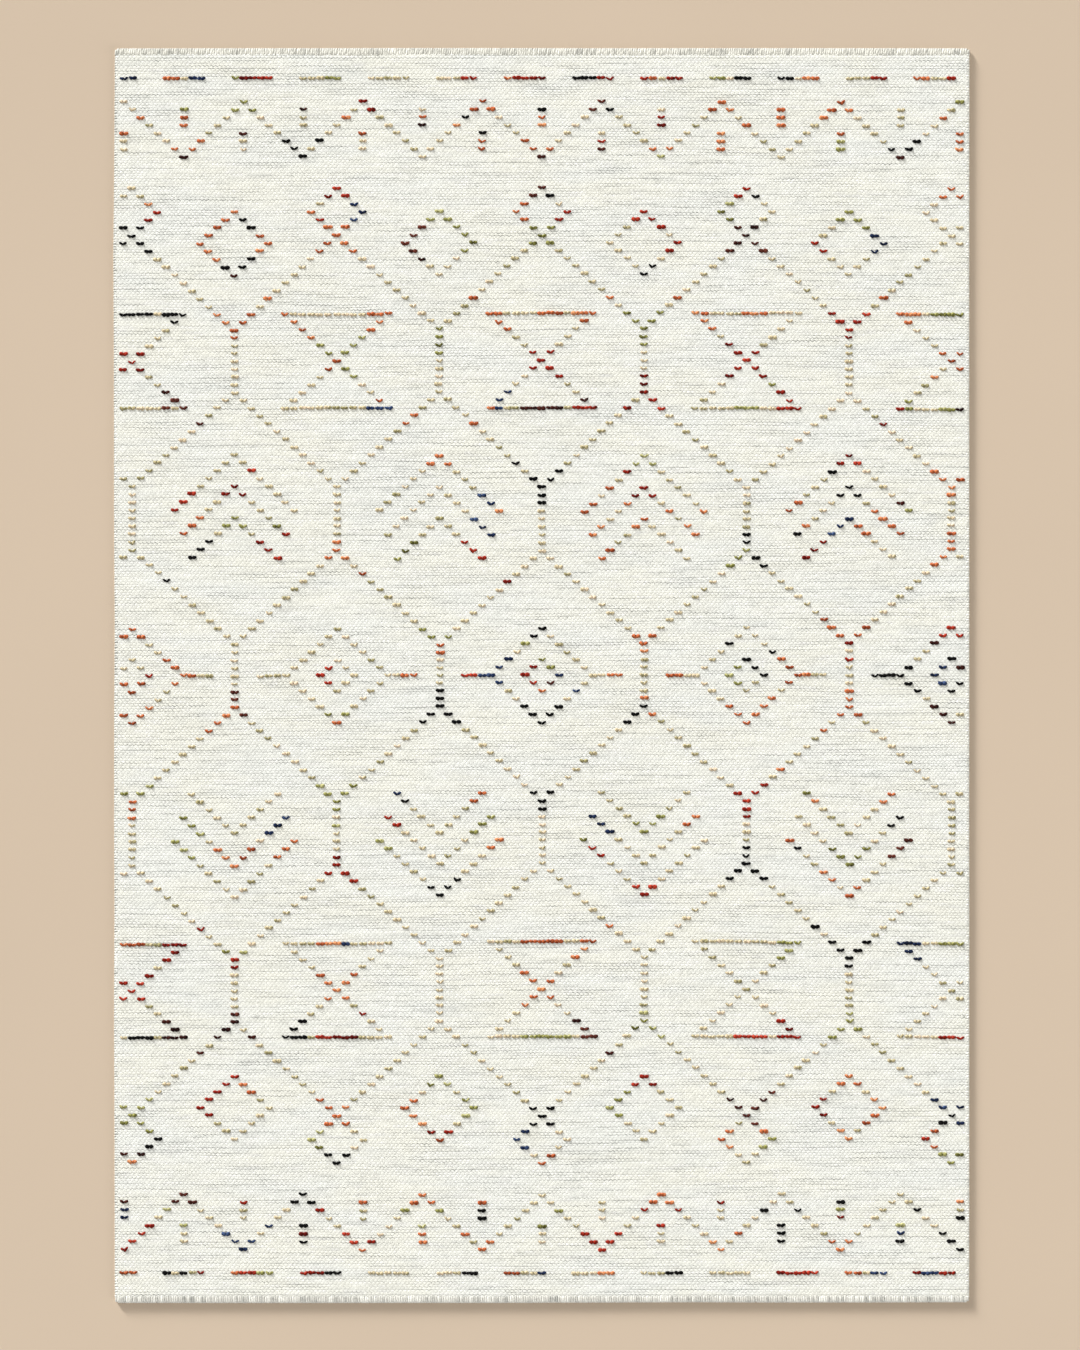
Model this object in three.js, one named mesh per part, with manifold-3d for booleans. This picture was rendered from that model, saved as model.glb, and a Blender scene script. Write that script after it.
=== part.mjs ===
// A flat-woven wool kilim, lying flat and face up: one woven field and an overcast border at each end.
// Millimetres. X runs across the rug, Y along its length, Z up. The underside lies on Z = 0 and the
// origin is at the middle of the rug.
import * as THREE from "three";
import { mergeVertices } from "three/addons/utils/BufferGeometryUtils.js";
import Module from "manifold-3d";

// Overall size, measured over the widest and longest places.
const rugWidth = 1560;
const rugLength = 2286;
const clothThick = 5.6;

// The woven sides are turned edges, nearly round in section.
const selvedgeRound = 2.4;

// The overcasting yarn at each end: how deep it reaches, how high it stands and how thick it is.
const borderDepth = 12.5;
const borderThick = 6;
const yarnThick = 1.4;

// The border's free edge is rounded in section. Its corners are rounded in plan, where it also thins.
const borderRound = 2.2;
const cornerRound = 5;
const cornerLift = 0.6;

// The field's end web runs inside the overcasting, clear of it all round.
const pieceGap = 0.3;
const webInset = 2.4;

const arcSteps = 3;

// How far each side lies inside the widest line, from the near end (0) to the far end (1).
const sideInsets = [
  { along: 0.0, left: 2.7, right: 0.5 },
  { along: 0.08, left: 2.4, right: 0.2 },
  { along: 0.16, left: 1.9, right: 0.2 },
  { along: 0.23, left: 1.2, right: 0.2 },
  { along: 0.31, left: 2.1, right: 0.1 },
  { along: 0.38, left: 1.4, right: 0.3 },
  { along: 0.46, left: 1.4, right: 0.2 },
  { along: 0.54, left: 2.5, right: 0.2 },
  { along: 0.61, left: 1.4, right: 0.2 },
  { along: 0.69, left: 1.1, right: 0.2 },
  { along: 0.76, left: 0.9, right: 0.3 },
  { along: 0.84, left: 0.0, right: 0.2 },
  { along: 0.91, left: 1.5, right: 0.2 },
  { along: 1.0, left: 2.7, right: 0.0 },
];

// How far each end lies inside the longest line, from the left side (0) to the right side (1).
const endInsets = [
  { across: 0.0, south: 0.3, north: 0.8 },
  { across: 0.13, south: 0.0, north: 0.4 },
  { across: 0.24, south: 0.0, north: 0.3 },
  { across: 0.34, south: 0.2, north: 0.0 },
  { across: 0.45, south: 0.2, north: 0.0 },
  { across: 0.56, south: 0.8, north: 0.4 },
  { across: 0.67, south: 1.3, north: 0.2 },
  { across: 0.77, south: 0.9, north: 0.3 },
  { across: 0.88, south: 0.9, north: 0.3 },
  { across: 1.0, south: 1.5, north: 0.6 },
];

const halfWidth = rugWidth / 2;
const halfLength = rugLength / 2;
const fieldEnd = halfLength - borderDepth;
const webEnd = halfLength - webInset - pieceGap;
const webHalfWidth = halfWidth - webInset - pieceGap - sideInsets[0].left;
const webLow = yarnThick + pieceGap;
const webHigh = borderThick - yarnThick - pieceGap;

const wasm = await Module();
wasm.setup();

// Points of a quarter circle about a centre, from one angle to the next, in quarter turns.
function quarter(centreU, centreV, radius, fromTurn) {
  const points = [];
  for (let i = 0; i <= arcSteps; i += 1) {
    const angle = (fromTurn + i / arcSteps) * (Math.PI / 2);
    points.push([centreU + radius * Math.cos(angle), centreV + radius * Math.sin(angle)]);
  }
  return points;
}

// A flat section with four rounded corners, anticlockwise.
function slabSection(left, right, low, high, radius) {
  return [
    ...quarter(right - radius, low + radius, radius, 3),
    ...quarter(right - radius, high - radius, radius, 0),
    ...quarter(left + radius, high - radius, radius, 1),
    ...quarter(left + radius, low + radius, radius, 2),
  ];
}

// The overcast border's section: square where it meets the field, rounded at its free edge.
function borderSection(inner, outer, low, high, radius) {
  return [
    [inner, low],
    ...quarter(outer - radius, low + radius, radius, 3),
    ...quarter(outer - radius, high - radius, radius, 0),
    [inner, high],
  ];
}

// A closed solid through sections with equal numbers of points. place turns a section's station and
// its two coordinates into a point in space.
function loft(sections, place) {
  const count = sections[0].ring.length;
  const positions = sections.flatMap(({ at, ring }) => ring.flatMap(([u, v]) => place(at, u, v)));
  const faces = [];
  for (let s = 0; s < sections.length - 1; s += 1) {
    for (let i = 0; i < count; i += 1) {
      const next = (i + 1) % count;
      const a = s * count + i;
      const b = s * count + next;
      faces.push(a, b, b + count, a, b + count, a + count);
    }
  }
  const cap = (section, offset, turned) => {
    const outline = section.ring.map(([u, v]) => new THREE.Vector2(u, v));
    for (const [a, b, c] of THREE.ShapeUtils.triangulateShape(outline, [])) {
      faces.push(offset + a, offset + (turned ? c : b), offset + (turned ? b : c));
    }
  };
  cap(sections[0], 0, true);
  cap(sections[sections.length - 1], (sections.length - 1) * count, false);
  const geometry = new THREE.BufferGeometry();
  geometry.setAttribute("position", new THREE.Float32BufferAttribute(positions, 3));
  geometry.setIndex(faces);
  return geometry;
}

function toSolid(geometry) {
  const bare = geometry.clone();
  bare.deleteAttribute("normal");
  bare.deleteAttribute("uv");
  const merged = mergeVertices(bare);
  return new wasm.Manifold(
    new wasm.Mesh({
      numProp: 3,
      vertProperties: new Float32Array(merged.attributes.position.array),
      triVerts: new Uint32Array(merged.index.array),
    }),
  );
}

function toGeometry(solid) {
  const { vertProperties, triVerts } = solid.getMesh();
  const geometry = new THREE.BufferGeometry();
  geometry.setAttribute("position", new THREE.BufferAttribute(vertProperties, 3));
  geometry.setIndex(new THREE.BufferAttribute(triVerts, 1));
  return geometry;
}

// The field's sections follow one another along +Y, so their first coordinate runs leftwards.
function fieldGeometry() {
  const webRing = slabSection(-webHalfWidth, webHalfWidth, webLow, webHigh, pieceGap);
  const body = sideInsets.map(({ along, left, right }) => ({
    at: (2 * along - 1) * (fieldEnd - pieceGap),
    ring: slabSection(right - halfWidth, halfWidth - left, 0, clothThick, selvedgeRound),
  }));
  const sections = [
    { at: -webEnd, ring: webRing },
    { at: pieceGap - fieldEnd, ring: webRing },
    ...body,
    { at: fieldEnd - pieceGap, ring: webRing },
    { at: webEnd, ring: webRing },
  ];
  return loft(sections, (y, leftwards, z) => [-leftwards, y, z]);
}

// One overcast border, drawn for the far end. side is 1 there and -1 at the near end.
function borderGeometry(side) {
  const end = side > 0 ? "north" : "south";
  const corner = side > 0 ? sideInsets[sideInsets.length - 1] : sideInsets[0];
  const left = corner.left - halfWidth;
  const right = halfWidth - corner.right;
  const section = (x, inset, lift) => ({
    at: x,
    ring: borderSection(fieldEnd, halfLength - inset, lift, borderThick - lift, borderRound),
  });
  const rounding = [];
  for (let i = 0; i < arcSteps; i += 1) {
    const angle = (i / arcSteps) * (Math.PI / 2);
    rounding.push({
      back: cornerRound * (1 - Math.cos(angle)),
      inset: cornerRound * (1 - Math.sin(angle)),
      lift: cornerLift * (1 - Math.sin(angle)),
    });
  }
  const first = endInsets[0][end];
  const last = endInsets[endInsets.length - 1][end];
  const sections = [
    ...rounding.map(({ back, inset, lift }) => section(left + back, first + inset, lift)),
    section(left + cornerRound, first, 0),
    ...endInsets.slice(1, -1).map((row) => section(left + row.across * (right - left), row[end], 0)),
    section(right - cornerRound, last, 0),
    ...rounding.reverse().map(({ back, inset, lift }) => section(right - back, last + inset, lift)),
  ];
  const bar = loft(sections, (x, y, z) => [x, y, z]);
  // The box is centred on the bar's inner face, so half of it cuts the slot for the web.
  const slotDepth = webEnd + pieceGap - fieldEnd;
  const slot = new THREE.BoxGeometry(
    2 * (webHalfWidth + pieceGap),
    2 * slotDepth,
    webHigh - webLow + 2 * pieceGap,
  ).translate(0, fieldEnd, (webLow + webHigh) / 2);
  return toGeometry(toSolid(bar).subtract(toSolid(slot)));
}

function wool(color, roughness) {
  return new THREE.MeshStandardMaterial({ color, roughness, metalness: 0 });
}

const rug = new THREE.Group();

function addPiece(name, geometry, material) {
  const mesh = new THREE.Mesh(geometry, material);
  mesh.name = name;
  rug.add(mesh);
  return mesh;
}

addPiece("woven_field", fieldGeometry(), wool(0xece9de, 0.95));
addPiece("overcast_end_north", borderGeometry(1), wool(0xe4e2d6, 0.95));
addPiece("overcast_end_south", borderGeometry(-1), wool(0xdcdddb, 0.95)).scale.y = -1;

export default rug;
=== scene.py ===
# A flat-woven wool kilim lying flat and face up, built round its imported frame. Metres, +Z up: X runs
# across the rug, Y along it, and the origin is in the middle of the underside.
import math

import bpy
import numpy as np
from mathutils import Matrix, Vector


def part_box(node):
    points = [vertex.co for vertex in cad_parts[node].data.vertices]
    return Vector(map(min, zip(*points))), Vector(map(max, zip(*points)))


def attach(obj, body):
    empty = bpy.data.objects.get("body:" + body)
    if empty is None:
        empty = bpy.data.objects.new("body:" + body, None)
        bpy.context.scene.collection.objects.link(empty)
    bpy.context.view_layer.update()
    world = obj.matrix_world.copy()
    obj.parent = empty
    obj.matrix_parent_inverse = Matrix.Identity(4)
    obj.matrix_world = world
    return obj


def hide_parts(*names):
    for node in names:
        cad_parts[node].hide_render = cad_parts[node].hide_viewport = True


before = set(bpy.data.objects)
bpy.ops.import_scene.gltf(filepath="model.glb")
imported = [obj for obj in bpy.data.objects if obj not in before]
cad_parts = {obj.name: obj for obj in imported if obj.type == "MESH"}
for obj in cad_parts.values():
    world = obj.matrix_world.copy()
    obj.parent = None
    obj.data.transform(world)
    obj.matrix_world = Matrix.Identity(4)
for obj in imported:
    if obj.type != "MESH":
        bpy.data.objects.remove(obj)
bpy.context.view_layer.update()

mm = 0.001


def nodePoints(name):
    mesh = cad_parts[name].data
    flat = np.empty(3 * len(mesh.vertices))
    mesh.vertices.foreach_get("co", flat)
    return flat.reshape(-1, 3)


def reach(points, along, across):
    # the lowest and highest place across at each station along
    close = 0.1 * mm
    stations = np.unique(np.round(points[:, along], 4))
    spans = [points[np.abs(points[:, along] - station) < close, across] for station in stations]
    return stations, np.array([span.min() for span in spans]), np.array([span.max() for span in spans])


def ripple(x, y, wavelength, seed):
    # smooth seeded unevenness, mostly between -1 and 1
    total = 0
    for turn, phase, stretch in np.random.default_rng(seed).uniform(0, 1, (8, 3)):
        way = x * math.cos(math.pi * turn) + y * math.sin(math.pi * turn)
        total = total + np.sin(2 * math.pi * (way / (wavelength * (0.7 + 0.9 * stretch)) + phase))
    return total / 4


# The outline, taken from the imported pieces
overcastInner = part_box("overcast_end_north")[0][1]
fieldPoints = nodePoints("woven_field")
fieldPoints = fieldPoints[np.abs(fieldPoints[:, 1]) < overcastInner]
bodyEnd = fieldPoints[:, 1].max()
sideStations, leftEdge, rightEdge = reach(fieldPoints, 1, 0)

# The cloth's own grid: a place on it is a column (two to a grain) and a weft row
cloth = {
    "columns": 400,
    "rows": 474,
    "side": 2.4 * mm,  # how far in the face ends, beside the selvedge's loops
    "wander": 2.0 * mm,  # the weft rows drift up and down
    "wanderLength": 0.55,
    "joggle": 0.9 * mm,  # and are beaten unevenly
    "joggleLength": 0.1,
    "shuffle": 1.0 * mm,
    "swell": 0.12 * mm,  # soft rise and fall of the face
    "swellLength": 0.3,
    "seed": 11,
}


def onCloth(column, row):
    flat = (2 * row / cloth["rows"] - 1) * bodyEnd
    across = column / cloth["columns"]
    left = np.interp(flat, sideStations, leftEdge) + cloth["side"]
    right = np.interp(flat, sideStations, rightEdge) - cloth["side"]
    x = left + (right - left) * across
    loose = np.clip(1 - (flat / bodyEnd) ** 8, 0, 1)  # the rows run straight beside the overcast ends
    drift = cloth["wander"] * ripple(0.5 * x, flat, cloth["wanderLength"], cloth["seed"])
    beat = cloth["joggle"] * ripple(0.5 * x, flat, cloth["joggleLength"], cloth["seed"] + 1)
    shuffle = cloth["shuffle"] * ripple(x, 0.6 * flat, cloth["joggleLength"], cloth["seed"] + 2)
    return x + np.sin(math.pi * across) * shuffle, flat + loose * (drift + beat)


def swellAt(x, y):
    return cloth["swell"] * ripple(x, y, cloth["swellLength"], cloth["seed"] + 3)


def newPiece(name, points, faces, attributes, corners, material):
    mesh = bpy.data.meshes.new(name)
    mesh.from_pydata(points.tolist(), [], faces)
    mesh.polygons.foreach_set("use_smooth", np.ones(len(mesh.polygons), bool))
    for label, values in attributes.items():
        mesh.attributes.new(label, "FLOAT_VECTOR", "POINT").data.foreach_set("vector", values.ravel())
    if corners is not None:
        mesh.uv_layers.new(name="OFBake").data.foreach_set("uv", corners.ravel())
    mesh.materials.append(material)
    piece = bpy.data.objects.new(name, mesh)
    bpy.context.scene.collection.objects.link(piece)
    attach(piece, "root")
    print(f"{name}: {sum(len(ring) - 2 for ring in faces)} triangles")
    return piece


# Colours are given as they look on a screen, from 0 to 255
def fromScreen(colour):
    return (*[(c / 255 / 12.92 if c < 11 else ((c / 255 + 0.055) / 1.055) ** 2.4) for c in colour], 1)


class Shader:
    # a material's node tree, with short ways to add to it
    def __init__(self, name, roughness, sheen):
        self.material = bpy.data.materials.new(name)
        self.material.use_nodes = True
        self.tree = self.material.node_tree
        self.body = self.tree.nodes["Principled BSDF"]
        self.body.inputs["Specular IOR Level"].default_value = 0.07
        self.body.inputs["Sheen Weight"].default_value = sheen
        self.body.inputs["Sheen Roughness"].default_value = 0.6
        self.body.inputs["Roughness"].default_value = roughness

    def add(self, kind, inputs, **settings):
        node = self.tree.nodes.new("ShaderNode" + kind)
        for setting, value in settings.items():
            setattr(node, setting, value)
        for socket, value in inputs.items():
            self.set(node.inputs[socket], value)
        return node

    def set(self, socket, value):
        if isinstance(value, bpy.types.NodeSocket):
            self.tree.links.new(value, socket)
        else:
            socket.default_value = value

    def sum(self, operation, *values):
        return self.add("Math", dict(enumerate(values)), operation=operation).outputs[0]

    def noise(self, x, y, z, detail=1.0):
        way = self.add("CombineXYZ", {0: x, 1: y, 2: z}).outputs[0]
        return self.add("TexNoise", {"Vector": way, "Scale": 1.0, "Detail": detail}).outputs[0]

    def step(self, value, low, high, first=0.0, last=1.0):
        inputs = {"Value": value, "From Min": low, "From Max": high, "To Min": first, "To Max": last}
        return self.add("MapRange", inputs, interpolation_type="SMOOTHSTEP").outputs[0]

    def mix(self, share, first, second, blend="MIX"):
        node = self.add("Mix", {0: share}, data_type="RGBA", blend_type=blend)
        self.set(node.inputs[6], first)
        self.set(node.inputs[7], second)
        return node.outputs[2]

    def dim(self, colour, value):
        grey = self.add("CombineColor", {0: value, 1: value, 2: value}).outputs[0]
        return self.mix(1.0, colour, grey, "MULTIPLY")

    def parts(self, attribute):
        vector = self.add("Attribute", {}, attribute_name=attribute).outputs["Vector"]
        return list(self.add("SeparateXYZ", {0: vector}).outputs)

    def finish(self, colour, roughness, height, depth):
        bump = self.add("Bump", {"Height": height, "Distance": depth, "Strength": 1.0}).outputs[0]
        self.set(self.body.inputs["Base Color"], colour)
        self.set(self.body.inputs["Roughness"], roughness)
        self.set(self.body.inputs["Normal"], bump)
        return self.material


# Marled ivory wool, its threads followed by "weft": the column, the row, and 1 on the web at an end
wool = {
    "cream": (248, 247, 235),
    "cool": (245, 246, 239),
    "white": (250, 249, 243),
    "grey": (182, 184, 181),
    # the colour of the painted shade in the crevices
    "creviceShade": (84, 88, 85),
    "column": 3.89 * mm,
    "row": 4.77 * mm,
    "bulge": 0.16,  # how far a grain swells into the rows beside it, as a share of a row
    "ply": 2.4 * mm,  # along the row, from one ply of its yarn to the next
    "twist": 1.1,  # how far the plies lean over along the row, from one side of it to the other
    "marl": 0.38,  # how grey the grey ply is
    "dullest": 0.93,  # how dark the painted shade in the crevices is everywhere
    "crease": 0.06,  # how dark the crevices are everywhere
    "streak": 0.72,  # and in the long broken lines
    "fold": 0.09,  # painted shade where a grain goes under, with a little more in those lines
    "foldStreak": 0.16,
    "webShade": 0.3,  # painted shade on the web under the overcasting, where it shows between the stitches
    "relief": 0.37 * mm,
}


def marledWool():
    s = Shader("marled_wool", 0.9, 0.12)
    column, row, onWeb = s.parts("weft")

    # which thread is on top here, and how near its edge the point lies: neighbours meet on a wavy line
    lower = s.sum("FLOOR", row)
    phase = s.sum("COSINE", s.sum("MULTIPLY", s.sum("ADD", column, lower), math.pi))
    meet = s.sum("ADD", s.sum("MULTIPLY", phase, wool["bulge"]), 0.5)
    past = s.sum("SUBTRACT", s.sum("SUBTRACT", row, lower), meet)
    thread = s.sum("ADD", lower, s.sum("GREATER_THAN", past, 0.0))
    rim = s.sum("SUBTRACT", 1.0, s.sum("MULTIPLY", s.sum("ABSOLUTE", past), 2.0))
    place = s.sum("MULTIPLY", s.sum("ADD", column, thread), 0.5)
    grain = s.sum("ROUND", place)
    end = s.sum("MULTIPLY", s.sum("ABSOLUTE", s.sum("SUBTRACT", place, grain)), 2.0)
    along = s.sum("MULTIPLY", column, wool["column"])
    down = s.sum("MULTIPLY", row, wool["row"])
    track = s.sum("MULTIPLY", thread, 3.17)

    # soft patches of warmer and cooler wool, longer across the rug than along it
    tint = s.noise(s.sum("MULTIPLY", along, 5.0), s.sum("MULTIPLY", down, 16.0), 2.0, 3.0)
    colour = s.mix(s.step(tint, 0.35, 0.68), fromScreen(wool["cream"]), fromScreen(wool["cool"]))
    slub = s.noise(s.sum("MULTIPLY", along, 26.0), track, 8.0, 2.0)
    colour = s.mix(s.step(slub, 0.5, 0.7, 0.0, 0.7), colour, fromScreen(wool["white"]))

    # twisted plies, leaning one way in one row and the other way in the next, and fibres along them
    lean = s.sum("SUBTRACT", s.sum("MULTIPLY", s.sum("MODULO", thread, 2.0), 2.0), 1.0)
    offset = s.sum("MULTIPLY", past, wool["row"])
    turned = s.sum("MULTIPLY_ADD", s.sum("MULTIPLY", offset, lean), wool["twist"], along)
    strands = s.sum("SINE", s.sum("MULTIPLY", turned, 2 * math.pi / wool["ply"]))
    fibre = s.noise(s.sum("MULTIPLY", turned, 2600.0), s.sum("MULTIPLY", offset, 330.0), track, 2.0)
    colour = s.dim(colour, s.step(fibre, 0.3, 0.6, 0.9, 1.0))

    # a grey ply surfaces in some lengths of each thread
    marl = s.step(s.noise(s.sum("MULTIPLY", along, 14.0), track, 3.0, 3.0), 0.52, 0.66)
    ply = s.sum("MULTIPLY", marl, s.step(strands, -0.4, 0.9, 0.2, 0.8))
    colour = s.mix(s.sum("MULTIPLY", ply, wool["marl"]), colour, fromScreen(wool["grey"]))
    # painted shade in the grooves between the plies
    colour = s.dim(colour, s.step(strands, -1.0, -0.2, 0.93, 1.0))
    cell = s.add("CombineXYZ", {0: grain, 1: thread, 2: 0.0}).outputs[0]
    tone = s.add("TexWhiteNoise", {"Vector": cell}, noise_dimensions="3D").outputs[0]
    colour = s.dim(colour, s.step(tone, 0.0, 1.0, wool["dullest"], 1.0))

    # painted shade in the crevices between the rows, deepest in long broken lines, and where a grain goes
    # under
    streak = s.noise(s.sum("MULTIPLY", along, 8.0), s.sum("MULTIPLY", lower, 3.3), 20.0, 3.0)
    line = s.step(streak, 0.47, 0.63)
    broken = s.noise(s.sum("MULTIPLY", along, 150.0), s.sum("MULTIPLY", lower, 2.1), 31.0)
    broken = s.step(s.sum("MULTIPLY_ADD", phase, 0.08, broken), 0.4, 0.58, 0.3, 1.0)
    patch = s.noise(s.sum("MULTIPLY", along, 4.0), s.sum("MULTIPLY", down, 11.0), 14.0, 2.0)
    line = s.sum("MULTIPLY", s.sum("MULTIPLY", line, broken), s.step(patch, 0.35, 0.6, 0.6, 1.0))
    creviceShade = s.sum("MULTIPLY", s.step(rim, 0.72, 0.98), wool["crease"])
    dark = s.sum("MULTIPLY", line, wool["streak"])
    creviceShade = s.sum("MULTIPLY_ADD", s.step(rim, 0.5, 0.95), dark, creviceShade)
    fold = s.sum("MULTIPLY_ADD", line, wool["foldStreak"], wool["fold"])
    under = s.sum("MULTIPLY", s.step(end, 0.55, 1.0), fold)
    colour = s.mix(s.sum("MAXIMUM", creviceShade, under), colour, fromScreen(wool["creviceShade"]))
    # painted shade on the web, where it shows between the overcasting's stitches
    web = s.sum("MULTIPLY", s.step(onWeb, 0.9, 1.0), wool["webShade"])
    colour = s.mix(web, colour, fromScreen(wool["grey"]))

    # rounded grains, which part most in the streaks, with their plies and their fibres
    parted = s.step(streak, 0.36, 0.64, -0.3, -1.1)
    rounded = s.sum("MULTIPLY", s.step(end, 0.3, 1.0), -0.5)
    rounded = s.sum("MULTIPLY_ADD", s.step(rim, 0.3, 1.0), parted, rounded)
    height = s.sum("MULTIPLY_ADD", strands, 0.14, s.sum("MULTIPLY_ADD", fibre, 0.45, rounded))
    return s.finish(colour, s.step(slub, 0.3, 0.7, 0.96, 0.84), height, wool["relief"])


# Yarn of the knots, sides and ends. "strand" has the place along it, the turn round it and its own tone.
# A second attribute holds the painted shade that greys the yarn where the low lights strike it,
# and the painted light that lightens the near end's fold, which lies in shade.
# Its plies wind round it, and its fibres lie along the plies, with painted shade in the grooves between
# them.
def twistedYarn(name, look):
    s = Shader(name, 0.88, look["sheen"])
    along, around, tone = s.parts("strand")
    paintedLight = s.parts("paintedLight")[0]
    twist = s.sum("MULTIPLY", along, look["twist"])
    plies = s.sum("MULTIPLY_ADD", around, 2 * math.pi * look["plies"], twist)
    groove = s.sum("COSINE", plies)
    fibre = s.noise(s.sum("MULTIPLY", plies, 2.2), s.sum("MULTIPLY", along, 160.0), 4.0, 3.0)
    place = s.add("TexCoord", {}).outputs["Object"]
    blotch = s.add("TexNoise", {"Vector": place, "Scale": 190.0, "Detail": 2.0}).outputs[0]
    share = s.sum("MULTIPLY_ADD", s.sum("SUBTRACT", blotch, 0.5), look["mottle"], tone)
    share = s.sum("MULTIPLY_ADD", s.sum("SUBTRACT", fibre, 0.5), 0.9, share)
    colour = s.mix(s.step(share, 0.0, 0.5), fromScreen(look["deep"]), fromScreen(look["middle"]))
    colour = s.mix(s.step(share, 0.5, 1.0), colour, fromScreen(look["bright"]))
    # painted shade where the low lights strike the yarn, and painted light on the near end's shaded fold
    colour = s.mix(paintedLight, colour, fromScreen(look["paintedLight"]))
    # painted shade in the grooves between the plies
    colour = s.dim(colour, s.step(groove, -1.0, -0.2, look["groove"], 1.0))
    height = s.sum("MULTIPLY_ADD", s.step(groove, -1.0, 0.6), 1.0, s.sum("MULTIPLY", fibre, 0.6))
    return s.finish(colour, s.step(fibre, 0.3, 0.7, 0.95, 0.8), height, look["relief"])


# The woven face: a relief of grains over a plain sheet, made in long sections side by side
face = {
    "sections": 3,
    "crown": 5.6 * mm,
    "pit": 5.12 * mm,
    "rough": 0.08 * mm,
    "slub": 0.1 * mm,  # thick and thin places in the yarn
    "filled": 0.2 * mm,  # shallow and deep places between the rows
    "slubColumns": 16,
    "lean": 0.7 * mm,  # the crowns of one row lean one way, and those of the next the other way
    "stray": 0.3 * mm,
    "sideTuck": (0.7 * mm, 4.0 * mm),  # outwards under the selvedge's loops, and how high
    "endTuck": (3.0 * mm, 4.7 * mm),  # outwards under the overcasting, and how high at most
    "overlap": 0.3 * mm,  # how far a section's edge lies under the next one
    "buried": 1.2 * mm,  # how high its hidden edges end, inside the plain sheet
    "mapEdge": 0.003,
    "mapHalf": 0.49,
    "mapWide": 0.484,
    "mapTall": 0.98,
}


def slubs(rows, columns, source):
    lumps = source.normal(size=(rows, columns // face["slubColumns"] + 2))
    at = np.arange(columns) / face["slubColumns"]
    return np.array([np.interp(at, np.arange(lumps.shape[1]), line) for line in lumps])


def grainGrid():
    source = np.random.default_rng(cloth["seed"] + 20)
    row, column = np.mgrid[0 : cloth["rows"] + 1, 0 : cloth["columns"] + 1]
    x, y = onCloth(column, row)
    crown = (row + column) % 2 == 0
    z = np.where(crown, face["crown"], face["pit"]) + swellAt(x, y)
    z = z + face["rough"] * source.normal(size=z.shape)
    z = z + face["slub"] * slubs(*z.shape, source) * np.where(crown, 1, 0.4)
    z = z + face["filled"] * slubs(*z.shape, source).clip(-1.5, 1.5) * np.where(crown, 0, 1)
    x = x + np.where(crown, face["lean"] * (1 - 2 * (row % 2)), 0)
    x = x + face["stray"] * source.uniform(-1, 1, x.shape)
    y = y + face["stray"] * source.uniform(-1, 1, y.shape)
    return np.stack([x, y, z], 2)


def selvedgeTuck(grid, side):
    # a column that runs on just under the selvedge's loops, and one that ends inside the plain sheet
    column = 0 if side < 0 else -1
    outward, height = face["sideTuck"]
    tucked = grid[:, column] + np.array([side * outward, 0, 0])
    tucked[:, 2] = height
    dropped = tucked * np.array([1, 1, 0]) + np.array([0, 0, face["buried"]])
    return [tucked, dropped]


def hiddenEdge(grid, column):
    # a column that runs on just under the next section, and one that drops inside the plain sheet
    under = grid[:, column] - np.array([0, 0, face["overlap"]])
    dropped = grid[:, column] * np.array([1, 1, 0]) + np.array([0, 0, face["buried"]])
    return [under, dropped]


def woundFaces(rows, columns, flip):
    # two triangles to each square of the grid, parted along the line that joins two crowns
    row, column = np.mgrid[0 : rows - 1, 0 : columns - 1]
    a = (row * columns + column).ravel()
    b, c, d = a + 1, a + columns + 1, a + columns
    even = ((row + column + flip) % 2 == 0).ravel()[:, None]
    first = np.where(even, np.stack([a, b, c], 1), np.stack([a, b, d], 1))
    second = np.where(even, np.stack([a, c, d], 1), np.stack([b, c, d], 1))
    return np.stack([first, second], 1).reshape(-1, 3), np.repeat(row.ravel(), 2)


def faceSection(name, grid, start, end, material):
    before = selvedgeTuck(grid, -1) if start == 0 else hiddenEdge(grid, start - 1)
    after = selvedgeTuck(grid, 1) if end == cloth["columns"] else hiddenEdge(grid, end + 1)
    lead = len(before)
    points = np.stack(before[::-1] + [grid[:, c] for c in range(start, end + 1)] + after, 1)
    outward, highest = face["endTuck"]
    tucks = []
    for rowPoints, way in ((points[0], -1), (points[-1], 1)):
        tuck = rowPoints + np.array([0, way * outward, 0])
        tuck[:, 2] = np.minimum(tuck[:, 2], highest)
        tucks.append(tuck[None])
    points = np.concatenate([tucks[0], points, tucks[1]])
    rows, width = points.shape[:2]

    triangles, rowOf = woundFaces(rows, width, start + lead + 1)
    at = np.arange(rows) * width
    under = [(a, b, b + width - 1, a + width - 1) for a, b in zip(at[1:], at[:-1])]
    ends = [tuple(range(width - 1, -1, -1)), tuple(range(at[-1], at[-1] + width))]
    faces = triangles.tolist() + under + ends

    # the thread that a point belongs to
    row, column = np.mgrid[-1.0 : rows - 1, start - lead : start - lead + width]
    weft = np.stack([column, row, np.zeros_like(row)], 2).reshape(-1, 3)

    # the bake's map: the section's near and far halves side by side, and the hidden faces down one edge
    middle = rows // 2
    half = (rowOf >= middle).astype(float)[:, None]
    across = (triangles % width) / (width - 1)
    along = (triangles // width - half * middle) / (rows - middle)
    u = face["mapEdge"] + face["mapHalf"] * half + face["mapWide"] * across
    v = face["mapEdge"] + face["mapTall"] * along
    top = np.stack([u, v], 2).reshape(-1, 2)
    step = np.arange(rows) / rows
    belowMap = [[(0.99, v1), (0.99, v0), (0.997, v0), (0.997, v1)] for v1, v0 in zip(step[1:], step[:-1])]
    flatPoints = points.reshape(-1, 3)
    endPoints = [*ends[0], *ends[1]]
    endMap = [(0.985 + 0.012 * (p % width) / width, 0.99 + 2 * flatPoints[p, 2]) for p in endPoints]
    corners = np.concatenate([top, np.array(belowMap).reshape(-1, 2), np.array(endMap)])
    return newPiece(name, flatPoints, faces, {"weft": weft}, corners, material)


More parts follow.
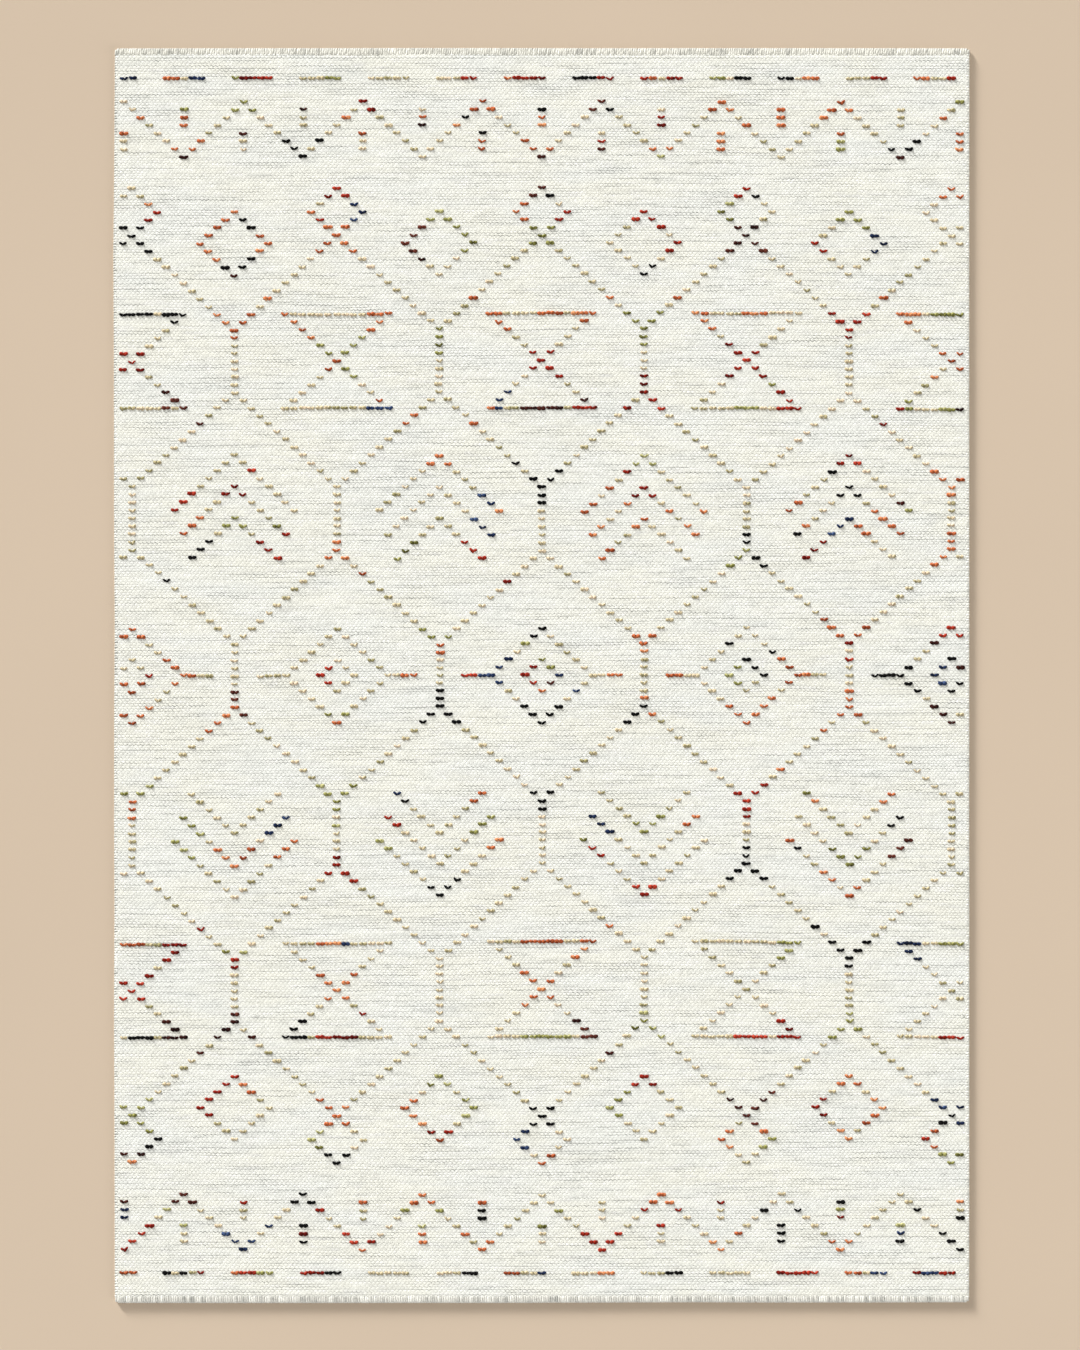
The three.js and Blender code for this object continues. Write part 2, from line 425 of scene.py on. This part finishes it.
# The plain sheet under the relief, which is also the rug's underside
sheet = {
    "stations": 90,
    "across": 32,
    "inset": 2.3 * mm,
    "round": 1.2 * mm,
    "top": 3.9 * mm,
    "lift": 0.15 * mm,  # the underside rests on the floor unevenly
    "liftLength": 0.12,
    "webLow": 1.5 * mm,
    "webHigh": 4.5 * mm,
    "webDepth": 8.7 * mm,
    "webLap": 0.2 * mm,
    "webInsets": (3.2 * mm, 1.0 * mm),  # at its free end and beside the body
    "webRound": 0.6 * mm,
}


def sheetRing(y, inset, low, high, roundness):
    left = np.interp(y, sideStations, leftEdge) + inset
    right = np.interp(y, sideStations, rightEdge) - inset
    turns = np.radians([-75, -45, -15, 15, 45, 75])
    lift = (high - low) / 2
    sideX = roundness * (np.cos(turns) - 1)
    sideZ = (low + high) / 2 + lift * np.sin(turns)
    spread = np.linspace(left + 1.2 * roundness, right - 1.2 * roundness, sheet["across"])
    below = np.stack([spread, np.full_like(spread, low)], 1)
    above = np.stack([spread[::-1], np.full_like(spread, high)], 1)
    rightSide = np.stack([right + sideX, sideZ], 1)
    leftSide = np.stack([left - sideX[::-1], sideZ[::-1]], 1)
    ring = np.concatenate([below, rightSide, above, leftSide])
    return np.stack([ring[:, 0], np.full(len(ring), y), ring[:, 1]], 1)


def plainSheet(material):
    body = np.linspace(-bodyEnd, bodyEnd, sheet["stations"])
    plain = [sheetRing(y, sheet["inset"], 0, sheet["top"], sheet["round"]) for y in body]
    for ring in plain:
        uneven = ripple(ring[:, 0], ring[:, 1], sheet["liftLength"], 41)
        ring[:, 2] += np.where(ring[:, 2] < 1 * mm, sheet["lift"] * (1.2 + uneven).clip(0), 0)
    web = [
        sheetRing(side * (bodyEnd + depth), inset, sheet["webLow"], sheet["webHigh"], sheet["webRound"])
        for side in (-1, 1)
        for depth, inset in zip((sheet["webDepth"], sheet["webLap"]), sheet["webInsets"])
    ]
    rings = [web[0], web[1], *plain, web[3], web[2]]
    count = len(rings[0])
    points = np.concatenate(rings)
    faces = []
    for start in range(0, (len(rings) - 1) * count, count):
        for i in range(count):
            after = (i + 1) % count
            faces.append((start + i, start + i + count, start + after + count, start + after))
    faces.append(tuple(range(count)))
    faces.append(tuple(range(len(points) - 1, len(points) - count - 1, -1)))
    row = (points[:, 1] / bodyEnd + 1) / 2 * cloth["rows"]
    column = points[:, 0] / wool["column"]
    # the web beyond the body carries the painted shade that shows between the stitches
    onWeb = np.where(np.abs(points[:, 1]) > bodyEnd, 1.0, 0.0)
    weft = np.stack([column, row, onWeb], 1)
    return newPiece("field_sheet", points, faces, {"weft": weft}, None, material)


sweep = {
    "sides": 7,
    "apart": 0.4,  # strands of other tones start this much further along their yarn
    "bulge": 0.07,  # its plies show in its section
    "bulgeTurn": 900,  # and wind along it, in radians a metre
    # the bake's map: every strand has a cell of its own, with its body between its two caps
    "cellShape": 1.3,
    "body": (0.12, 0.76, 0.06, 0.88),  # where it starts and how long it is, along and across
    "cap": (0.05, 0.035, 0.5, 0.4),  # its middle and its half size, along and across
    "capApart": 0.89,
}


# Yarn swept along many short paths at once. paths is strands by stations by 3, and sideways and upright
# are the half widths of its section there, in the same form. tones and wound, which way its plies wind,
# have a value for every strand, and the painted light and shade, passed after tones, has one for every
# station.
def sweptYarn(name, paths, sideways, upright, tones, paintedLight, wound, material, mirrored=False):
    strands, stations = paths.shape[:2]
    sides = sweep["sides"]
    turn = 2 * math.pi * (np.arange(sides) / sides - 0.25)  # the seam lies underneath
    steps = np.linalg.norm(np.diff(paths, axis=1), axis=2)
    run = np.concatenate([np.zeros((strands, 1)), steps.cumsum(1)], 1) + sweep["apart"] * tones[:, None]
    run = run * wound[:, None]
    swell = 1 + sweep["bulge"] * np.cos(2 * turn + sweep["bulgeTurn"] * run[:, :, None])
    ring = paths[:, :, None] + swell[..., None] * (
        np.cos(turn)[:, None] * sideways[:, :, None] + np.sin(turn)[:, None] * upright[:, :, None]
    )
    points = ring.reshape(-1, 3)
    strand, station, side = np.mgrid[0:strands, 0 : stations - 1, 0:sides]
    base = (strand * stations + station) * sides
    onward = (side + 1) % sides
    quads = np.stack([base + side, base + onward, base + sides + onward, base + sides + side], 3)
    quads = quads.reshape(-1, 4)
    starts = np.arange(strands)[:, None] * stations * sides
    near = starts + np.arange(sides)[::-1]
    far = starts + (stations - 1) * sides + np.arange(sides)

    wide = math.ceil(math.sqrt(strands / sweep["cellShape"]))
    tall = math.ceil(strands / wide)
    left, length, low, height = sweep["body"]
    u = left + length * (station[..., None] + np.array([0, 0, 1, 1])) / (stations - 1)
    v = low + height * (side[..., None] + np.array([0, 1, 1, 0])) / sides
    capU, halfLength, capV, halfHeight = sweep["cap"]
    cap = np.stack([capU + halfLength * np.cos(turn), capV + halfHeight * np.sin(turn)], 1)
    caps = np.tile(cap, (strands, 1, 1))
    body = np.stack([u, v], 4).reshape(strands, -1, 2)
    cell = np.stack([np.arange(strands) % wide, np.arange(strands) // wide], 1)[:, None]
    size = np.array([wide, tall])
    body = ((body + cell) / size).reshape(-1, 4, 2)
    nearCaps = (caps[:, ::-1] + cell) / size
    farCaps = (caps + np.array([sweep["capApart"], 0]) + cell) / size
    parts = [body, nearCaps, farCaps]
    faces = [quads, near, far]
    if mirrored:
        faces = [rings[:, ::-1] for rings in faces]
        parts = [part[:, ::-1] for part in parts]
    corners = np.concatenate([part.reshape(-1, 2) for part in parts])

    shape = ring.shape[:3]
    around = np.broadcast_to(np.arange(sides) / sides, shape)
    runAt = np.broadcast_to(run[:, :, None], shape)
    toneAt = np.broadcast_to(tones[:, None, None], shape)
    paintedLightAt = np.broadcast_to(np.asarray(paintedLight)[:, None], shape)
    attributes = {
        "strand": np.stack([runAt, around, toneAt], 3).reshape(-1, 3),
        "paintedLight": np.repeat(paintedLightAt.reshape(-1, 1), 3, 1),
    }
    outlines = [outline for rings in faces for outline in rings.tolist()]
    return newPiece(name, points, outlines, attributes, corners, material)


# Yarn of the sides and ends
edgeYarn = {
    "plies": 3,
    "twist": 500,
    "sheen": 0.1,
    # how dark the painted shade in the grooves between the plies is
    "groove": 0.93,
    "mottle": 0.7,
    "relief": 0.3 * mm,
    # the colour of the painted shade that greys the yarn where the low lights strike it
    "paintedLight": (162, 162, 156),
    # The two ends' yarns differ partly in their own tones and partly as painted light and shade: the far
    # end faces the lights, and the near end's fold lies in shade.
    "far": {"deep": (190, 189, 180), "middle": (229, 227, 215), "bright": (244, 242, 231)},
    "near": {
        "deep": (162, 162, 155),
        "middle": (214, 212, 203),
        "bright": (246, 245, 236),
        "paintedLight": (250, 249, 242),  # painted light: lighter, and not greyer, where this end folds over into shade
    },
    "side": {"deep": (208, 208, 200), "middle": (242, 241, 230), "bright": (252, 251, 242)},
}


# The woven sides: each weft thread turns round the outer warp in a loop
loops = {
    "route": (  # how far in from the side and how high, in mm, from the face round to the underside
        (9.0, 4.4),
        (5.2, 4.65),
        (2.8, 4.75),
        (1.4, 4.15),
        (1.15, 2.9),
        (1.5, 1.7),
        (2.8, 1.25),
    ),
    "fullness": (0.5, 0.92, 1.0, 1.0, 1.0, 0.95, 0.55),
    "shorter": (1.9, 1.3, 0.3, 0.0, 0.0, 0.0, 0.0),  # how much sooner every second loop goes under
    "halfWidth": 2.5 * mm,
    "halfThick": 1.05 * mm,
    "paintedLight": (0.3, 0.6, 0.8, 0.75, 0.75, 0.7, 0.4),  # painted shade round the side, where the low lights strike it
    "left": 1.0,  # how much of that painted shade each side has; the left side faces the lights
    "right": 0.0,
    "slant": 2.4 * mm,
    "slants": (0.3, 1.3),
    "widths": (0.9, 1.06),
    "drawn": 0.15 * mm,  # every second loop is drawn in a little
    "uneven": 0.25 * mm,
    "tones": (0.2, 0.25),  # how far they drift along the side, and from loop to loop
    "toneLength": 0.08,
}


def sideLoops(name, side, material, seed):
    source = np.random.default_rng(seed)
    row = np.arange(cloth["rows"] + 1)
    count = len(row)
    y = onCloth(0 if side < 0 else cloth["columns"], row)[1]
    route = np.array(loops["route"]) * mm
    full = np.array(loops["fullness"])
    edge = np.interp(y, sideStations, leftEdge if side < 0 else rightEdge)
    edge = edge - side * (loops["drawn"] * (row % 2) + source.uniform(0, 1, count) * loops["uneven"])
    shorter = np.array(loops["shorter"]) * mm
    x = edge[:, None] - side * (route[:, 0] - shorter * (row % 2)[:, None])
    slants = source.uniform(*loops["slants"], count)[:, None]
    lean = loops["slant"] * slants * np.linspace(-0.5, 0.5, len(full))
    z = np.tile(route[:, 1], (count, 1))
    paths = np.stack([x, y[:, None] + lean, z], 2)
    way = np.gradient(paths[:, :, [0, 2]], axis=1)
    way /= np.linalg.norm(way, axis=2, keepdims=True)
    thick = side * full * loops["halfThick"]
    upright = np.stack([-way[:, :, 1] * thick, np.zeros_like(x), way[:, :, 0] * thick], 2)
    width = side * full * loops["halfWidth"] * source.uniform(*loops["widths"], count)[:, None]
    sideways = np.stack([np.zeros_like(x), width, np.zeros_like(x)], 2)
    drift, each = loops["tones"]
    tones = 0.5 + drift * ripple(y, 0, loops["toneLength"], seed + 1) + source.uniform(-each, each, count)
    paintedLight = np.array(loops["paintedLight"]) * loops["left" if side < 0 else "right"]
    piece = sweptYarn(name, paths, sideways, upright, tones, paintedLight, np.ones(count), material)
    return piece


# Overcasting: yarn sewn round each end of the cloth, two strands to a stitch
overcasting = {
    "stitches": 188,
    "strandApart": 3.9 * mm,
    "halfWidth": 2.5 * mm,
    "halfThick": 0.92 * mm,
    "depth": 12.6,  # how far in from the free edge the cloth begins, in mm
    "bite": (0.3 * mm, 1.8 * mm),  # how far the stitches reach into the cloth
    "route": (  # how far in from the free edge and how high, in mm, over the end and back underneath
        (13.7, 4.5),
        (12.5, 4.9),
        (8.6, 5.0),
        (3.7, 4.97),
        (2.1, 4.8),
        (1.25, 4.15),
        (1.0, 3.0),
        (1.3, 1.85),
        (2.6, 1.1),
        (12.2, 1.2),
        (12.9, 2.7),
    ),
    "fullness": (0.5, 0.85, 1.0, 1.0, 1.0, 0.96, 0.94, 0.96, 1.0, 0.9, 0.5),
    # how far the yarn's painted light and shade show along the route, and how much of that each end has:
    # painted shade on the far end's fold, which faces the lights, and painted light on the near end's fold,
    # which lies in shade
    "paintedLight": (0.0, 0.0, 0.0, 0.1, 0.55, 0.85, 0.9, 0.8, 0.5, 0.2, 0.2),
    "far": 1.0,
    "near": 0.8,
    "slant": 1.5 * mm,
    "slants": (0.1, 1.5),
    "widths": (0.86, 1.06),
    "heights": (-0.2 * mm, 0.1 * mm),
    "tones": (0.15, 0.31),  # how far they drift along the end, and from strand to strand
    "toneLength": 0.06,
    "stray": 0.45 * mm,
    "strandStray": 0.18 * mm,
    "corner": 5.3 * mm,
    "cornerRound": 9 * mm,  # how far in from the side the outer stitches begin to be drawn in
}


def overcastEnd(name, node, side, material, seed):
    source = np.random.default_rng(seed)
    stations, low, high = reach(nodePoints(node), 0, 1)
    outer = high if side > 0 else -low
    stitches = overcasting["stitches"]
    count = 2 * stitches
    first, last = stations.min() + overcasting["corner"], stations.max() - overcasting["corner"]
    stitch = np.linspace(first, last, stitches)
    x = np.stack([stitch, stitch], 1) + np.array([-0.5, 0.5]) * overcasting["strandApart"]
    x = (x + source.uniform(-1, 1, (stitches, 1)) * overcasting["stray"]).ravel()
    x += source.uniform(-1, 1, count) * overcasting["strandStray"]
    route = np.array(overcasting["route"])
    full = np.array(overcasting["fullness"])
    fromSide = np.minimum(x - stations.min(), stations.max() - x)
    rounding = (1 - fromSide / overcasting["cornerRound"]).clip(0)
    edge = np.interp(x, stations, outer) - overcasting["cornerRound"] * (1 - np.sqrt(1 - rounding**2))
    inner = bodyEnd - np.repeat(source.uniform(*overcasting["bite"], stitches), 2)
    y = edge[:, None] - (edge - inner)[:, None] * route[:, 0] / overcasting["depth"]
    z = np.tile(route[:, 1] * mm, (count, 1))
    z = z + np.where(route[:, 1] > 3, source.uniform(*overcasting["heights"], (count, 1)), 0)
    slant = overcasting["slant"] * np.repeat(source.uniform(*overcasting["slants"], stitches), 2)[:, None]
    fold = int(route[:, 0].argmin())
    lean = np.interp(np.arange(len(route)), (0, fold, len(route) - 1), (-0.5, 0.5, -0.5))
    paths = np.stack([x[:, None] + slant * lean, y, z], 2)
    way = np.gradient(paths[:, :, 1:], axis=1)
    way /= np.linalg.norm(way, axis=2, keepdims=True)
    outward = np.stack([np.zeros_like(y), -way[:, :, 1], way[:, :, 0]], 2)
    width = overcasting["halfWidth"] * source.uniform(*overcasting["widths"], count)[:, None] * full
    sideways = np.stack([width, np.zeros_like(width), np.zeros_like(width)], 2)
    upright = outward * (overcasting["halfThick"] * full)[:, None]
    drift, each = overcasting["tones"]
    tones = 0.5 + drift * ripple(x, 0, overcasting["toneLength"], seed + 1)
    tones = tones + source.uniform(-each, each, count)
    paintedLight = np.array(overcasting["paintedLight"]) * overcasting["far" if side > 0 else "near"]
    for vectors in (paths, sideways, upright):
        vectors[:, :, 1] *= side
    wound = np.ones(count)
    piece = sweptYarn(name, paths, sideways, upright, tones, paintedLight, wound, material, mirrored=side > 0)
    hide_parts(node)
    return piece


# The chart of the knots: a honeycomb of large open cells with small figures in them, between banded ends.
# It is counted in knots from the middle of the rug.
chart = {
    "half": (49, 78),
    "columnsEach": 4,
    "rowsEach": 3,
    "cellHalf": 12,  # half a cell's width, and the rise of its slanting sides
    "cellSide": 8,  # its upright sides
    "cells": (5, 3),  # half cells across and rows of cells along, on each side of the middle
    "budRow": 55,
    "tipRow": 59,
    "band": (66, 73),  # the zigzag's inner and outer rows
    "zigzags": 4,  # on each side of the middle
    "dashRow": 76,
    "dash": 4,
    "dashes": 13,
}
knots = set()
turns = set()  # where a line of knots starts, ends or turns


def knotLine(start, end, marked=True):
    count = max(abs(end[0] - start[0]), abs(end[1] - start[1]))
    wide, tall = chart["half"]
    for n in range(count + 1):
        spot = tuple(round(a + (b - a) * n / max(count, 1)) for a, b in zip(start, end))
        if abs(spot[0]) <= wide and abs(spot[1]) <= tall:
            knots.add(spot)
            if marked and n in (0, count):
                turns.add(spot)


# each figure is a few lines from one place to the next, drawn on both sides of its upright middle
figures = {
    "hourglass": (((0, 6), (6, 6)), ((6, 6), (0, 0)), ((0, 0), (6, -6)), ((6, -6), (0, -6))),
    "lozenge": (((0, 6), (6, 0)), ((6, 0), (0, -6)), ((6, 0), (9, 0)), ((0, 2), (2, 0)), ((2, 0), (0, -2))),
    "chevrons": (((0, 8), (7, 1)), ((0, 4), (6, -2)), ((0, 0), (5, -5))),
    "bud": (((0, -4), (4, 0)), ((4, 0), (0, 4))),
    "tip": (((0, -3), (3, 0)), ((3, 0), (0, 3))),
}


def drawFigure(name, centre, flip):
    for line in figures[name]:
        for hand in (-1, 1):
            knotLine(*[(centre[0] + hand * a, centre[1] + flip * b) for a, b in line])


def drawField():
    half, side = chart["cellHalf"], chart["cellSide"]
    across, last = chart["cells"]
    for b in range(-last, last + 1):
        middle = b * (half + side)
        for a in range(-across, across + 1):
            x = a * half
            if (a + b) % 2 == 0:
                if abs(b) < last:
                    name = ("lozenge", "chevrons", "hourglass")[abs(b)]
                    drawFigure(name, (x, middle), 1 if b >= 0 else -1)
                else:
                    drawFigure("bud", (x, math.copysign(chart["budRow"], b)), 1 if b > 0 else -1)
                continue
            # an upright side, which forks at both ends, or a small tip where the cells end beside the bands
            top, low = middle + side // 2, middle - side // 2
            if abs(b) < last:
                knotLine((x, low), (x, top))
            else:
                drawFigure("tip", (x, math.copysign(chart["tipRow"], b)), 1)
            for hand in (-1, 1):
                if b < last:
                    knotLine((x, top), (x + hand * half, top + half))


def drawBands():
    inner, outer = chart["band"]
    step, dash = outer - inner, chart["dash"]
    reachOut = chart["dashes"] * dash
    for side in (-1, 1):
        for start in range(-reachOut, reachOut, 2 * dash):
            knotLine((start, side * chart["dashRow"]), (start + dash, side * chart["dashRow"]))
        for a in range(-chart["zigzags"], chart["zigzags"]):
            start = 2 * a * step
            knotLine((start, side * inner), (start + step, side * outer))
            knotLine((start + step, side * outer), (start + 2 * step, side * inner))
            knotLine((start + step, side * (inner + 1)), (start + step, side * (inner + 3)))
            knotLine((start, side * (outer - 1)), (start, side * (outer - 3)))


yarns = {
    "tan": {
        "slot": "tan_yarn",
        "deep": (153, 145, 104),
        "middle": (199, 184, 149),
        "bright": (220, 199, 171),
    },
    "orange": {
        "slot": "orange_yarn",
        "deep": (140, 64, 34),
        "middle": (186, 98, 58),
        "bright": (214, 144, 98),
    },
    "red": {
        "slot": "red_yarn",
        "deep": (84, 14, 8),
        "middle": (140, 34, 20),
        "bright": (180, 62, 42),
    },
    "maroon": {
        "slot": "maroon_yarn",
        "deep": (30, 10, 8),
        "middle": (66, 28, 22),
        "bright": (104, 52, 40),
    },
    "black": {
        "slot": "black_yarn",
        "deep": (1, 1, 1),
        "middle": (4, 4, 4),
        "bright": (18, 17, 17),
    },
    "navy": {
        "slot": "navy_yarn",
        "deep": (14, 22, 42),
        "middle": (30, 44, 76),
        "bright": (64, 82, 118),
    },
    "olive": {
        "slot": "olive_yarn",
        "deep": (88, 86, 40),
        "middle": (140, 138, 78),
        "bright": (176, 172, 120),
    },
}
knotYarn = {
    "plies": 2,
    "twist": 700,
    "sheen": 0.015,
    # how dark the painted shade in the grooves between the plies is
    "groove": 0.62,
    "mottle": 1.3,
    "relief": 0.5 * mm,
    # the colour of painted shade, which the knots are not given
    "paintedLight": (150, 146, 138),
}
accents = {"orange": 0.37, "red": 0.23, "maroon": 0.07, "black": 0.12, "navy": 0.06, "olive": 0.15}
clusters = {"seed": 204, "plain": 0.26, "twoColours": 0.35, "chance": (1.0, 0.94, 0.6, 0.12, 0.0)}


def colourKnots():
    # a cluster of one or two colours round most turns of the lines, and tan between them
    source = np.random.default_rng(clusters["seed"])
    names, weights = list(accents), list(accents.values())
    ordered = sorted(turns)
    first = source.choice(names, len(ordered), p=weights)
    second = source.choice(names, len(ordered), p=weights)
    mixed = source.random(len(ordered)) < clusters["twoColours"]
    plain = source.random(len(ordered)) < clusters["plain"]
    sortedKnots = sorted(knots)
    luck = source.random(len(sortedKnots))
    places = np.array(ordered)
    colours = {name: [] for name in yarns}
    for spot, chance in zip(sortedKnots, luck):
        far = np.abs(places - spot).max(1)
        near = int(far.argmin())
        odds = clusters["chance"][min(int(far[near]), 4)]
        if plain[near] or chance >= odds:
            colours["tan"].append(spot)
        elif mixed[near] and (spot[0] > places[near][0] or spot[1] > places[near][1]):
            colours[second[near]].append(spot)
        else:
            colours[first[near]].append(spot)
    return colours


# One knot: two short fat legs of yarn that start side by side in the cloth and spread upwards in a V
knotShape = {
    "stations": (-0.1, 0.12, 0.36, 0.62, 0.84, 1.0),  # from the V's foot to the leg's tip
    "fullness": (0.5, 0.92, 1.0, 0.9, 0.64, 0.28),
    "rise": (-0.9, 0.3, 0.7, 0.52, 0.0, -1.1),  # mm over the face
    "tan": {"half": 8.35, "across": 3.15, "tall": 1.3, "height": 0.0},
    "accent": {"half": 9.0, "across": 3.4, "tall": 1.5, "height": 0.1},
    # a thin knot is shorter and hangs in a deeper V than a plump one
    "plump": (0.62, 1.14),
    "length": (0.84, 1.06),
    "sag": (6.0, 1.3),
    "uneven": 0.7,
    "crowded": {"plump": 0.96, "sag": 0.5},  # where a knot has neighbours on both sides
    "tilt": 1.0,
    "bendFrom": 0.45,
    "stray": 0.8,
    # the two legs of a knot differ a little
    "legLength": (0.9, 1.08),
    "legGirth": (0.84, 1.12),
    "legRise": (0.75, 1.15),
    "legTone": 0.18,
    "tones": (0.35, 0.2),  # how far they drift over the rug, and from knot to knot
    "toneLength": 0.07,
    "face": 5.1 * mm,
    "seed": 300,
}


def knotPiece(name, colour, spots, material, seed):
    source = np.random.default_rng(seed)
    size = knotShape["tan" if colour == "tan" else "accent"]
    spots = np.array(spots)
    count = len(spots)
    column = cloth["columns"] / 2 + spots[:, 0] * chart["columnsEach"]
    row = cloth["rows"] / 2 + spots[:, 1] * chart["rowsEach"]
    x, y = onCloth(column, row)
    x = x + source.uniform(-1, 1, count) * knotShape["stray"] * mm
    y = y + source.uniform(-1, 1, count) * knotShape["stray"] * mm
    beside = np.array([all((a + step, b) in knots for step in (-1, 1)) for a, b in spots.tolist()])
    plump = source.uniform(*knotShape["plump"], count)
    plump = np.where(beside, np.maximum(plump, knotShape["crowded"]["plump"]), plump)
    stretch = np.interp(plump, knotShape["plump"], knotShape["length"])
    sag = np.interp(plump, knotShape["plump"], knotShape["sag"])
    sag = sag + source.normal(0, knotShape["uneven"], count)
    sag = sag * np.where(beside, knotShape["crowded"]["sag"], 1.0)
    tilt = source.normal(0, knotShape["tilt"], count)
    drift, each = knotShape["tones"]
    tones = 0.5 + drift * ripple(x, y, knotShape["toneLength"], seed + 1)
    tones = tones + source.uniform(-each, each, count)
    at = np.array(knotShape["stations"])
    full = np.array(knotShape["fullness"])
    rise = np.array(knotShape["rise"])
    legs = []
    for hand in (-1, 1):
        length = size["half"] * (stretch * source.uniform(*knotShape["legLength"], count))[:, None]
        girth = full * (plump * source.uniform(*knotShape["legGirth"], count))[:, None]
        lift = source.uniform(*knotShape["legRise"], count)[:, None]
        bend = (sag + hand * tilt)[:, None] * (at - knotShape["bendFrom"])
        z = knotShape["face"] + swellAt(x, y)[:, None] + (rise * lift + size["height"]) * mm
        legs.append((x[:, None] + hand * length * at * mm, y[:, None] + bend * mm, z, girth))
    paths = np.concatenate([np.stack(leg[:3], 2) for leg in legs])
    girth = np.concatenate([leg[3] for leg in legs])
    wound = np.repeat([-1, 1], count)
    way = np.gradient(paths[:, :, :2], axis=1)
    way /= np.linalg.norm(way, axis=2, keepdims=True)
    wide = girth * size["across"] * mm
    sideways = np.stack([-way[:, :, 1] * wide, way[:, :, 0] * wide, np.zeros_like(wide)], 2)
    tall = (0.5 * full + 0.5 * girth) * size["tall"] * mm
    upright = np.stack([np.zeros_like(tall), np.zeros_like(tall), tall], 2)
    legTone = knotShape["legTone"]
    tones = np.concatenate([tones, tones]) + source.uniform(-legTone, legTone, 2 * count)
    piece = sweptYarn(name, paths, sideways, upright, tones, np.zeros(len(at)), wound, material)
    return piece


def makeKnots():
    drawField()
    drawBands()
    colours = colourKnots()
    seed = knotShape["seed"]
    pieces = []
    for n, (colour, look) in enumerate(yarns.items()):
        material = twistedYarn(f"{colour}_yarn", {**knotYarn, **look})
        spots = colours[colour]
        if colour == "tan":  # too many for one mesh, so the near and far halves are made apart
            near = [spot for spot in spots if spot[1] < 0]
            far = [spot for spot in spots if spot[1] >= 0]
            pieces.append(knotPiece("knots_tan_near", colour, near, material, seed))
            pieces.append(knotPiece("knots_tan_far", colour, far, material, seed + 1))
        else:
            pieces.append(knotPiece(f"knots_{colour}", colour, spots, material, seed + 10 + n))
    print(f"{len(knots)} knots:", {colour: len(spots) for colour, spots in colours.items()})
    return pieces


# Floor, light and camera
studio = {
    "floor": (210, 191, 169),
    "floorSize": 40,
    "floorSquares": 8,
    "ambient": (250, 248, 244),
    "ambientStrength": 0.34,
    # strength, angle across it, height over the floor and side it comes from, in degrees round from +X
    "lights": {
        "low_window": (5.0, 9, 9.5, 125),
        "high_window": (2.7, 14, 14.4, 125),
        "soft_ceiling": (0.5, 60, 75, 120),
        "far_wall": (1.35, 30, 17, -35),
    },
    "lens": 100,
    "sensor": 36,
    "viewHeight": 2.4572,  # the floor that the picture shows from top to bottom
    "viewCentre": (-2.6 * mm, 1.0 * mm),
    "faceHeight": 5 * mm,
}


def floorMaterial():
    s = Shader("pale_floor", 0.6, 0.0)
    place = s.add("TexCoord", {}).outputs["Object"]
    cloud = s.add("TexNoise", {"Vector": place, "Scale": 1.2, "Detail": 3.0}).outputs[0]
    grain = s.add("TexNoise", {"Vector": place, "Scale": 260.0, "Detail": 2.0}).outputs[0]
    colour = s.dim(fromScreen(studio["floor"]), s.step(cloud, 0.2, 0.8, 0.97, 1.0))
    s.body.inputs["Specular IOR Level"].default_value = 0.0
    return s.finish(colour, s.step(grain, 0.2, 0.8, 0.85, 0.95), grain, 0.05 * mm)


def makeStudio():
    size, squares = studio["floorSize"] / 2, studio["floorSquares"]
    steps = np.linspace(-size, size, squares + 1)
    points = [(x, y, 0) for y in steps for x in steps]
    first = [(squares + 1) * j + i for j in range(squares) for i in range(squares)]
    faces = [(a, a + 1, a + squares + 2, a + squares + 1) for a in first]
    mesh = bpy.data.meshes.new("floor")
    mesh.from_pydata(points, [], faces)
    mesh.materials.append(floorMaterial())
    floor = bpy.data.objects.new("floor", mesh)
    bpy.context.scene.collection.objects.link(floor)

    for name, (strength, angle, height, side) in studio["lights"].items():
        sun = bpy.data.lights.new(name, "SUN")
        sun.energy = strength
        sun.angle = math.radians(angle)
        sunObject = bpy.data.objects.new(name, sun)
        sunObject.rotation_euler = (0, math.radians(90 - height), math.radians(side))
        bpy.context.scene.collection.objects.link(sunObject)

    world = bpy.data.worlds.new("studio")
    world.use_nodes = True
    background = world.node_tree.nodes["Background"]
    background.inputs[0].default_value = fromScreen(studio["ambient"])
    background.inputs[1].default_value = studio["ambientStrength"]
    bpy.context.scene.world = world
    bpy.context.scene.view_settings.view_transform = "Standard"

    camera = bpy.data.cameras.new("camera")
    camera.lens = studio["lens"]
    camera.sensor_width = studio["sensor"]
    away = studio["viewHeight"] / 2 / (studio["sensor"] / 2 / studio["lens"])
    cameraObject = bpy.data.objects.new("camera", camera)
    cameraObject.location = (*studio["viewCentre"], studio["faceHeight"] + away)
    bpy.context.scene.collection.objects.link(cameraObject)
    bpy.context.scene.camera = cameraObject
    return floor


def makeRug():
    woolMaterial = marledWool()
    base = plainSheet(woolMaterial)
    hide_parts("woven_field")
    grid = grainGrid()
    ends = np.linspace(0, cloth["columns"], face["sections"] + 1).round().astype(int)
    added = []
    for n, (start, end) in enumerate(zip(ends[:-1], ends[1:])):
        piece = faceSection(f"woven_face_{n + 1}", grid, start, end, woolMaterial)
        added.append(piece)
    sideYarn = twistedYarn("selvedge_yarn", {**edgeYarn, **edgeYarn["side"]})
    added.append(sideLoops("selvedge_left", -1, sideYarn, 61))
    added.append(sideLoops("selvedge_right", 1, sideYarn, 62))
    print("woven face and its selvedges made")
    farYarn = twistedYarn("overcast_yarn_far", {**edgeYarn, **edgeYarn["far"]})
    nearYarn = twistedYarn("overcast_yarn_near", {**edgeYarn, **edgeYarn["near"]})
    added.append(overcastEnd("overcast_far", "overcast_end_north", 1, farYarn, 71))
    added.append(overcastEnd("overcast_near", "overcast_end_south", -1, nearYarn, 72))
    print("ends overcast")
    added += makeKnots()


floor = makeStudio()
makeRug()
